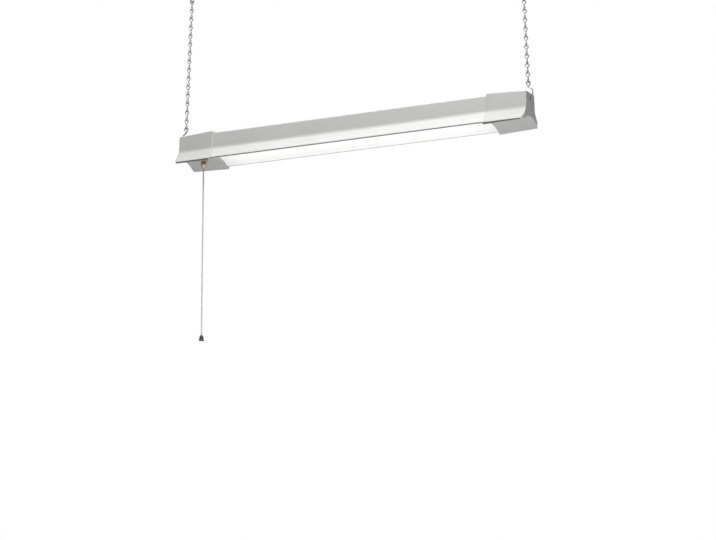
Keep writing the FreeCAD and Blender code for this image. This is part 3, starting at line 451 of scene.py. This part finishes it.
diffuser_finish, tree, shader = new_finish("opal diffuser", opal_colour, 0.35)
split = axes_of(tree, object_place(tree))
across = sum_of(tree, "ABSOLUTE", split["Y"])
ribs = sum_of(tree, "SINE", sum_of(tree, "MULTIPLY", split["Y"], 2 * math.pi / rib_pitch))
middle = ranged(tree, across, 0.0, diffuser_half, 1.0, 0.0, interpolation_type="SMOOTHSTEP")
beads = sum_of(tree, "COSINE", sum_of(tree, "MULTIPLY", split["X"], 2 * math.pi / chip_pitch))
spots = sum_of(tree, "MULTIPLY", sum_of(tree, "MULTIPLY", beads, middle), 0.04)
glow = sum_of(tree, "ADD", sum_of(tree, "ADD", 0.82, sum_of(tree, "MULTIPLY", middle, 0.16)),
              sum_of(tree, "ADD", spots, sum_of(tree, "MULTIPLY", ribs, 0.02)))
off_groove = sum_of(tree, "ABSOLUTE", sum_of(tree, "SUBTRACT", across, groove_place))
groove = ranged(tree, off_groove, 0.0003, 0.0009, 0.70, 1.0)
ends = ranged(tree, sum_of(tree, "ABSOLUTE", split["X"]), fade_start, fade_end, 1.0, 0.68,
              interpolation_type="SMOOTHSTEP")
glow = sum_of(tree, "MULTIPLY", sum_of(tree, "MULTIPLY", glow, groove), ends)
feed(tree, shader.inputs["Emission Color"], scaled(tree, (1.0, 0.995, 0.985), glow))
shader.inputs["Emission Strength"].default_value = 0.52
opal = use_effect(tree, uneven, {"Colour": (*opal_colour, 1), "Patch Scale": 20.0, "Patches": 0.02,
                                 "Speck Scale": 1500.0, "Specks": 0.01})["Colour"]
feed(tree, shader.inputs["Base Color"], opal)
bumped(tree, shader, ribs, rib_depth)
coat(diffuser_finish, "diffuser")

# ---- Tray, board and chips ----
# A white enamelled steel tray on two ledges carries the aluminium board, whose white mask has copper tracks
# under it. Each chip is a small white cup filled with yellow phosphor.
coat(sprayed_paint("white tray enamel", (0.80, 0.80, 0.79), 0.3, dust=0.1), "mounting_tray")

white_mask = (0.82, 0.82, 0.80)
track_place = 0.0045
track_half = 0.0014
pad_spacing = 0.009
pad_half = 0.0022
board_finish, tree, shader = new_finish("white solder mask", white_mask, 0.4)
split = axes_of(tree, object_place(tree))
off_middle = sum_of(tree, "ABSOLUTE", split["Y"])
off_track = sum_of(tree, "ABSOLUTE", sum_of(tree, "SUBTRACT", off_middle, track_place))
track = sum_of(tree, "LESS_THAN", off_track, track_half)
pads = sum_of(tree, "LESS_THAN", sum_of(tree, "PINGPONG", split["X"], pad_spacing), pad_half)
copper = sum_of(tree, "MAXIMUM", track, pads)
plain = use_effect(tree, uneven, {"Colour": (*white_mask, 1), "Patches": 0.02})["Colour"]
feed(tree, shader.inputs["Base Color"],
     blended(tree, sum_of(tree, "MULTIPLY", copper, 0.25), plain, (0.70, 0.66, 0.56, 1)))
bumped(tree, shader, copper, 0.00006)
coat(board_finish, "led_board")
coat(moulded_plastic("phosphor chip", (0.86, 0.72, 0.25), 0.3, 5000.0, 0.00001), "led_chips")

# ---- The driver ----
# A white plastic case in two halves holds a green board with a taped transformer, two sleeved
# capacitors and a copper choke. Two screws hold its base to the tray.
case_finish = moulded_plastic("white case plastic", (0.76, 0.76, 0.74), 0.5, 1800.0, 0.00003)
coat(case_finish, "driver_base", "driver_cover")

green_mask = (0.03, 0.16, 0.07)
circuit_finish, tree, shader = new_finish("green solder mask", green_mask, 0.35)
cells = add(tree, "ShaderNodeTexVoronoi", {"Vector": object_place(tree), "Scale": 260.0},
            distance="MANHATTAN", feature="DISTANCE_TO_EDGE").outputs["Distance"]
track = sum_of(tree, "LESS_THAN", cells, 0.09)
plain = use_effect(tree, uneven, {"Colour": (*green_mask, 1), "Patches": 0.05})["Colour"]
feed(tree, shader.inputs["Base Color"], blended(tree, track, plain, (0.06, 0.24, 0.10, 1)))
bumped(tree, shader, track, 0.00005)
coat(circuit_finish, "driver_board")
tape_finish = moulded_plastic("yellow winding tape", (0.68, 0.46, 0.06), 0.35, 900.0, 0.00004, 0.12)
coat(tape_finish, "driver_transformer")
coat(moulded_plastic("shrink sleeve", (0.03, 0.035, 0.06), 0.3, 1200.0, 0.00002), "driver_capacitors")

# Wire turns: the close ridges of wire or thread wound round an upright core.
turns, enter, leave = new_effect(
    "wire turns", [("Pitch", "NodeSocketFloat", 0.0006)], [("Height", "NodeSocketFloat")]
)
rise = axes_of(turns, object_place(turns))["Z"]
phase = sum_of(turns, "DIVIDE", sum_of(turns, "MULTIPLY", rise, 2 * math.pi), enter.outputs["Pitch"])
feed(turns, leave.inputs["Height"], sum_of(turns, "ABSOLUTE", sum_of(turns, "SINE", phase)))

copper_colour = (0.62, 0.26, 0.12)
choke_finish, tree, shader = new_finish("enamelled copper", copper_colour, 0.3, 1.0)
lacquer = use_effect(tree, uneven, {"Colour": (*copper_colour, 1), "Patches": 0.1})["Colour"]
feed(tree, shader.inputs["Base Color"], lacquer)
bumped(tree, shader, use_effect(tree, turns, {"Pitch": 0.0012})["Height"], 0.0002)
coat(choke_finish, "driver_choke")

# ---- Terminal block, earth tag and leads ----
# A natural nylon block with brass tunnels joins the mains to the driver. The leads are single copper
# wires in coloured sleeves, and the green one is screwed to the tray under a tinned tag.
coat(moulded_plastic("natural nylon", (0.80, 0.80, 0.74), 0.42, 1500.0, 0.00003), "terminal_block")
sleeves = {
    "brown sleeve": ((0.10, 0.035, 0.015), ["driver_lead_live", "switch_lead_feed"]),
    "blue sleeve": ((0.015, 0.06, 0.30), ["driver_lead_neutral"]),
    "black sleeve": ((0.02, 0.02, 0.02), ["switch_lead_return", "led_lead_negative"]),
    "red sleeve": ((0.35, 0.02, 0.02), ["led_lead_positive"]),
    "green sleeve": ((0.03, 0.22, 0.04), ["earth_lead"]),
}
for name, (colour, covered) in sleeves.items():
    coat(moulded_plastic(name, colour, 0.38, 1200.0, 0.00002, 0.08), *covered)

# ---- The end caps ----
# Two grey moulded sleeves push over the housing's ends, each a little wider than it at the inner edge and
# tapering outwards. Their skin is matt and finely pitted, with paler rubbed edges.
cap_finish = moulded_plastic("grey cap plastic", (0.505, 0.505, 0.50), 0.5, 2200.0, 0.00001, 0.03)
cap_finish.node_tree.nodes["Principled BSDF"].inputs["Specular IOR Level"].default_value = 0.22
# The caps' lip face, which turns down, is painted dark grey as shade.
paint_lip_shade(cap_finish, (0.17, 0.17, 0.17))
coat(cap_finish, "end_cap_left", "end_cap_right")

# ---- The cable inlet ----
# A soft black rubber grommet snaps into the left end wall, where the mains cable would enter.
# It is moulded in one piece, with a flange on each side of the wall.
coat(moulded_plastic("black rubber", (0.025, 0.025, 0.026), 0.62, 1600.0, 0.00004, 0.08), "cable_grommet")

# ---- Screws ----
# Zinc-plated pan-head screws with a cross recess hold the caps to the housing and the driver to its tray.
# The plating is bright, a little blue, with fine turning marks and duller patches.


def bright_metal(name, colour, roughness, patches=0.08, mark_scale=900.0, mark_depth=0.00001, dull=None,
                 dull_share=0.35):
    """A plated or plain metal: duller tarnished patches, fine marks and uneven gloss."""
    material, tree, shader = new_finish(name, colour, roughness, 1.0)
    toned = use_effect(tree, uneven, {"Colour": (*colour, 1), "Patch Scale": 140.0, "Patches": patches,
                                      "Speck Scale": 2500.0, "Specks": 0.06})["Colour"]
    spread = noise(tree, object_place(tree), 180.0, 5.0)
    duller = dull or [part * 0.6 for part in colour]
    tarnished = ranged(tree, spread, 0.5, 0.72, 0.0, dull_share)
    feed(tree, shader.inputs["Base Color"], blended(tree, tarnished, toned, (*duller, 1)))
    feed(tree, shader.inputs["Roughness"],
         ranged(tree, spread, 0.3, 0.7, max(0.05, roughness - 0.08), roughness + 0.15))
    marks = use_effect(tree, grain, {"Scale": mark_scale, "Roundness": 0.2})["Height"]
    bumped(tree, shader, marks, mark_depth)
    return material


screw_finish = bright_metal("bright zinc plate", (0.62, 0.64, 0.67), 0.25)
head_radius = 0.0028
shank_radius = 0.0015
slot_half = 0.00028
slot_reach = head_radius * 0.62


def pan_screws(name, node, head_height, places):
    """Pan-head screws in place of a CAD group. The head is domed and its cross recess is a sunk star."""
    low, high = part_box(node)
    seat = high[2] - head_height

    def cross(scale, wider=0.0):
        """The radius of the recess, four crossed slots, for every angle."""
        def radius(angle):
            folded = abs((angle + math.pi / 4) % (math.pi / 2) - math.pi / 4)
            slot = min(slot_reach, slot_half / max(math.sin(folded), 1e-3))
            return max(slot * scale, 0.0003) + wider
        return radius

    rings = [(cross(0.55), head_height * 0.45), (cross(1.0), head_height * 0.97),
             (cross(1.0, 0.00006), head_height * 0.985)]
    for share, lift in ((0.72, 0.96), (0.84, 0.88), (0.93, 0.74), (0.98, 0.52), (1.0, 0.25), (1.0, 0.0)):
        rings.append((head_radius * share, head_height * lift))
    rings += [(shank_radius, 0.0), (shank_radius, low[2] - seat)]
    for index, (x, y) in enumerate(places, 1):
        piece = ring_piece(f"{name}_{index}", rings, "light", screw_finish, 64, (x, y, seat), 40,
                           closed=False)
        piece.data.flip_normals()
    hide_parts(node)


off_centre = 0.008
for end in ("left", "right"):
    low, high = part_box(f"cap_screws_{end}")
    x = (low[0] + high[0]) / 2
    pan_screws(f"cap_screw_{end}", f"cap_screws_{end}", 0.0018, [(x, -off_centre), (x, off_centre)])
low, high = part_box("driver_screws")
pan_screws("driver_screw", "driver_screws", 0.0016, [(low[0] + head_radius, 0), (high[0] - head_radius, 0)])
coat(screw_finish, "terminal_screws", "earth_screw", "earth_tag", "switch_axle", "switch_spring")

# ---- The pull switch ----
# A threaded brass bushing passes through the cap's floor and is held by a washer and a hex nut, with a
# knurled ring nut near its rounded nose. Its black case is inside the cap.
brass_finish = bright_metal("yellow brass", (0.64, 0.52, 0.36), 0.22, 0.06, 1400.0, 0.00001,
                            (0.30, 0.22, 0.14), 0.35)
dark_brass_finish = bright_metal("dark brass", (0.36, 0.28, 0.19), 0.32, 0.10, 1400.0, 0.00001,
                                 (0.14, 0.10, 0.07), 0.5)
bushing_low, bushing_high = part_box("switch_bushing")
bushing_radius = (bushing_high[0] - bushing_low[0]) / 2
bushing_length = bushing_high[2] - bushing_low[2]
bushing_bore = 0.0017
pitch = 0.00085
root = bushing_radius - 0.00045
nose = 0.0032


def thread(level, crest, bottom):
    """The radius of a screw thread at a height, for every angle."""
    def radius(angle):
        share = (level / pitch - angle / (2 * math.pi)) % 1.0
        ridge = 1 - abs(2 * share - 1)
        return bottom + (crest - bottom) * min(1.0, max(0.0, ridge * 1.5 - 0.25))
    return radius


rings = [(bushing_bore, bushing_length), (bushing_bore, 0.0002), (bushing_bore + 0.0002, 0.0),
         (bushing_bore + 0.0006, 0.0), (bushing_bore + 0.00085, 0.0002), (bushing_bore + 0.0013, 0.0010),
         (root - 0.0004, nose - 0.0007), (root - 0.0001, nose - 0.0004)]
level = nose - 0.0002
while level < bushing_length - 0.0002:
    fade = min(1.0, (level - nose + 0.0002) / 0.0006)
    rings.append((thread(level, root + (bushing_radius - root) * fade, root - 0.0001), level))
    level += pitch / 8
rings.append((root, bushing_length))
bushing = ring_piece("bushing", rings, "light", dark_brass_finish, 96, (cord_x, 0, bushing_low[2]), 60)
bushing.data.flip_normals()
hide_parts("switch_bushing")

nut_low, nut_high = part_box("switch_nut")
flats = nut_high[1] - nut_low[1]
nut_height = nut_high[2] - nut_low[2]
nut_corner = (nut_high[0] - nut_low[0]) / 2


def hexagon(level):
    """The hex nut's radius at a height: its flats, cut back by a cone at the top and the bottom."""
    from_face = min(level, nut_height - level)
    cone = flats / 2 - 0.0001 + from_face * 1.7

    def radius(angle):
        off_flat = angle % (math.pi / 3) - math.pi / 6
        return min(flats / 2 / math.cos(off_flat), cone, nut_corner)
    return radius


rings = [(bushing_radius, nut_height), (bushing_radius, 0.0), (flats / 2 - 0.0001, 0.0)]
for share in (0.03, 0.06, 0.10, 0.14, 0.18, 0.24, 0.32, 0.5, 0.68, 0.76, 0.82, 0.86, 0.90, 0.94, 0.97):
    rings.append((hexagon(share * nut_height), share * nut_height))
rings.append((flats / 2 - 0.0001, nut_height))
nut = ring_piece("hex_nut", rings, "light", brass_finish, 144, (cord_x, 0, nut_low[2]), 25)
nut.data.flip_normals()
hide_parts("switch_nut")

ring_low, ring_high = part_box("switch_ring_nut")
ring_radius = (ring_high[0] - ring_low[0]) / 2
ring_height = ring_high[2] - ring_low[2]


def knurl(share):
    """The ring nut's grip: fine upright ribs that fade out towards both faces."""
    depth = 0.00035 * min(1.0, min(share, 1 - share) / 0.18)
    base = ring_radius - 0.0006 * max(0.0, 1 - min(share, 1 - share) / 0.16) ** 2

    def radius(angle):
        ridge = abs(((angle * 36 / (2 * math.pi)) % 1.0) * 2 - 1)
        return base - depth * (1 - ridge) ** 1.5
    return radius


rings = [(bushing_radius, ring_height), (bushing_radius, 0.0), (ring_radius - 0.0008, 0.0)]
for step in range(1, 16):
    rings.append((knurl(step / 16), step / 16 * ring_height))
rings.append((ring_radius - 0.0008, ring_height))
ring_nut = ring_piece("ring_nut", rings, "light", brass_finish, 288, (cord_x, 0, ring_low[2]), 50)
ring_nut.data.flip_normals()
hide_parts("switch_ring_nut")
coat(brass_finish, "switch_washer", "switch_contacts")
switch_plastic = moulded_plastic("black switch plastic", (0.03, 0.03, 0.03), 0.42, 1800.0, 0.00003)
coat(switch_plastic, "switch_case", "switch_cover")
coat(moulded_plastic("white acetal", (0.78, 0.78, 0.74), 0.36, 1800.0, 0.00002), "switch_drum")

# ---- Wire hooks and chains ----
# Each light hook is bent from 2 mm zinc-plated wire, and each chain link from 1.6 mm wire into two
# loops at right angles. Their ends are cropped and left open at the waist.
wire_finish = bright_metal("zinc wire", (0.25, 0.255, 0.265), 0.34, 0.10, 1200.0, 0.00002,
                           (0.14, 0.14, 0.145), 0.45)
for end in ("left", "right"):
    coat(wire_finish, f"wire_hook_{end}", f"chain_links_{end}", f"top_link_{end}", f"ceiling_hook_{end}")

# ---- Threads of the ceiling hooks ----
# Each ceiling hook ends in a wood screw that is turned into the ceiling by hand. Its thread is rolled
# from the same wire: thin, widely spaced ridges that run out towards the tip.
screw_radius = 0.00165
screw_tip = 0.0001
screw_start = 0.0021
screw_straight = 0.018
screw_top = 0.0218
screw_lead = 0.0019
ridge_height = 0.0006


def wood_thread(level):
    """The thread's radius at a height above the collar, for every angle."""
    to_tip = max(0.0, (level - screw_straight) / (screw_top - screw_straight))
    core = screw_radius * (1 - 0.9 * to_tip)
    crest = ridge_height * min(1.0, (level - 0.002) / 0.002) * (1 - 0.85 * to_tip)

    def radius(angle):
        share = (level / screw_lead - angle / (2 * math.pi)) % 1.0
        return core + crest * max(0.0, 1 - abs(2 * share - 1) * 2.6)
    return radius


mounts = {mount["name"]: mount["pos_m"] for mount in frame["record"]["mounts"]}
for end in ("left", "right"):
    rings = [(screw_tip, screw_top), (screw_tip, screw_start)]
    level = screw_start
    while level < screw_top:
        rings.append((wood_thread(level), level))
        level += screw_lead / 14
    screw_thread = ring_piece(f"ceiling_screw_thread_{end}", rings, "ceiling_hooks", wire_finish, 56,
                              (mounts[f"ceiling_screw_{end}"][0], 0, 0), 50)
    screw_thread.data.flip_normals()

# ---- Floor, backdrop and lamps ----
# A pale floor lies well below the light, and a white surround stands behind it.
# Three broad soft lamps light it plainly, from above, the front right and below. Its end faces are in shade.
floor_reach = 30.0
floor_level = -2.3
corners = [(-floor_reach, -floor_reach, 0), (floor_reach, -floor_reach, 0), (floor_reach, floor_reach, 0),
           (-floor_reach, floor_reach, 0)]


def seen_directly(tree):
    """1 where the camera, a reflection or clear plastic shows the thing, and 0 where it only gives light."""
    path = add(tree, "ShaderNodeLightPath").outputs
    return sum_of(tree, "MAXIMUM", path["Is Camera Ray"],
                  sum_of(tree, "MAXIMUM", path["Is Glossy Ray"], path["Is Transmission Ray"]))


floor_mesh = bpy.data.meshes.new("floor")
floor_mesh.from_pydata(corners, [], [(0, 1, 2, 3)])
floor = bpy.data.objects.new("floor", floor_mesh)
floor.location = (0, 0, floor_level)
bpy.context.scene.collection.objects.link(floor)
floor_finish, tree, shader = new_finish("pale floor", (0.86, 0.86, 0.855), 0.8)
shader.inputs["Specular IOR Level"].default_value = 0.1
paler = add(tree, "ShaderNodeEmission", {"Strength": sum_of(tree, "MULTIPLY", seen_directly(tree), 0.5)})
lifted = add(tree, "ShaderNodeAddShader", {0: shader.outputs[0], 1: paler.outputs[0]})
behind = add(tree, "ShaderNodeNewGeometry").outputs["Backfacing"]
clear = add(tree, "ShaderNodeBsdfTransparent")
either = add(tree, "ShaderNodeMixShader", {0: behind, 1: lifted.outputs[0], 2: clear.outputs[0]})
feed(tree, tree.nodes["Material Output"].inputs["Surface"], either.outputs[0])
floor_mesh.materials.append(floor_finish)
floor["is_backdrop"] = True

world = bpy.data.worlds.new("white surround")
bpy.context.scene.world = world
world.use_nodes = True
tree = world.node_tree
background = tree.nodes["Background"]
background.inputs["Color"].default_value = (1, 1, 1, 1)
way = axes_of(tree, add(tree, "ShaderNodeTexCoord").outputs["Generated"])
leftwards = sum_of(tree, "SUBTRACT", 1.0, way["X"])
from_behind = sum_of(tree, "MULTIPLY", sum_of(tree, "MAXIMUM", way["Y"], 0.0), leftwards)
soft_light = sum_of(tree, "ADD", sum_of(tree, "MULTIPLY", from_behind, 0.75), 0.01)
feed(tree, background.inputs["Strength"], ranged(tree, seen_directly(tree), 0.0, 1.0, soft_light, 1.0))


def soft_lamp(name, place, target, size, power):
    """A square soft box that faces its target and isn't itself seen."""
    light = bpy.data.lights.new(name, "AREA")
    light.shape = "SQUARE"
    light.size = size
    light.energy = power
    lamp = bpy.data.objects.new(name, light)
    lamp.location = place
    lamp.rotation_euler = (Vector(target) - Vector(place)).to_track_quat("-Z", "Y").to_euler()
    lamp.visible_camera = False
    bpy.context.scene.collection.objects.link(lamp)


centre = (0, 0, -0.27)
soft_lamp("top lamp", (-0.3, -0.3, 2.2), centre, 2.4, 62)
soft_lamp("front lamp", (0.35, -0.8, 0.8), centre, 0.8, 20)
soft_lamp("low lamp", (0.5, -0.5, -1.6), centre, 1.0, 10.5)
bpy.context.scene.view_settings.view_transform = "Standard"

# ---- Sizes ----
# The model's box as it was packed, and as it is dressed, are both measured and kept.
# Both are plain lists of numbers in metres.
dressed_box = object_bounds()
plain = [[[float(value) for value in corner] for corner in box] for box in (cad_box, dressed_box)]
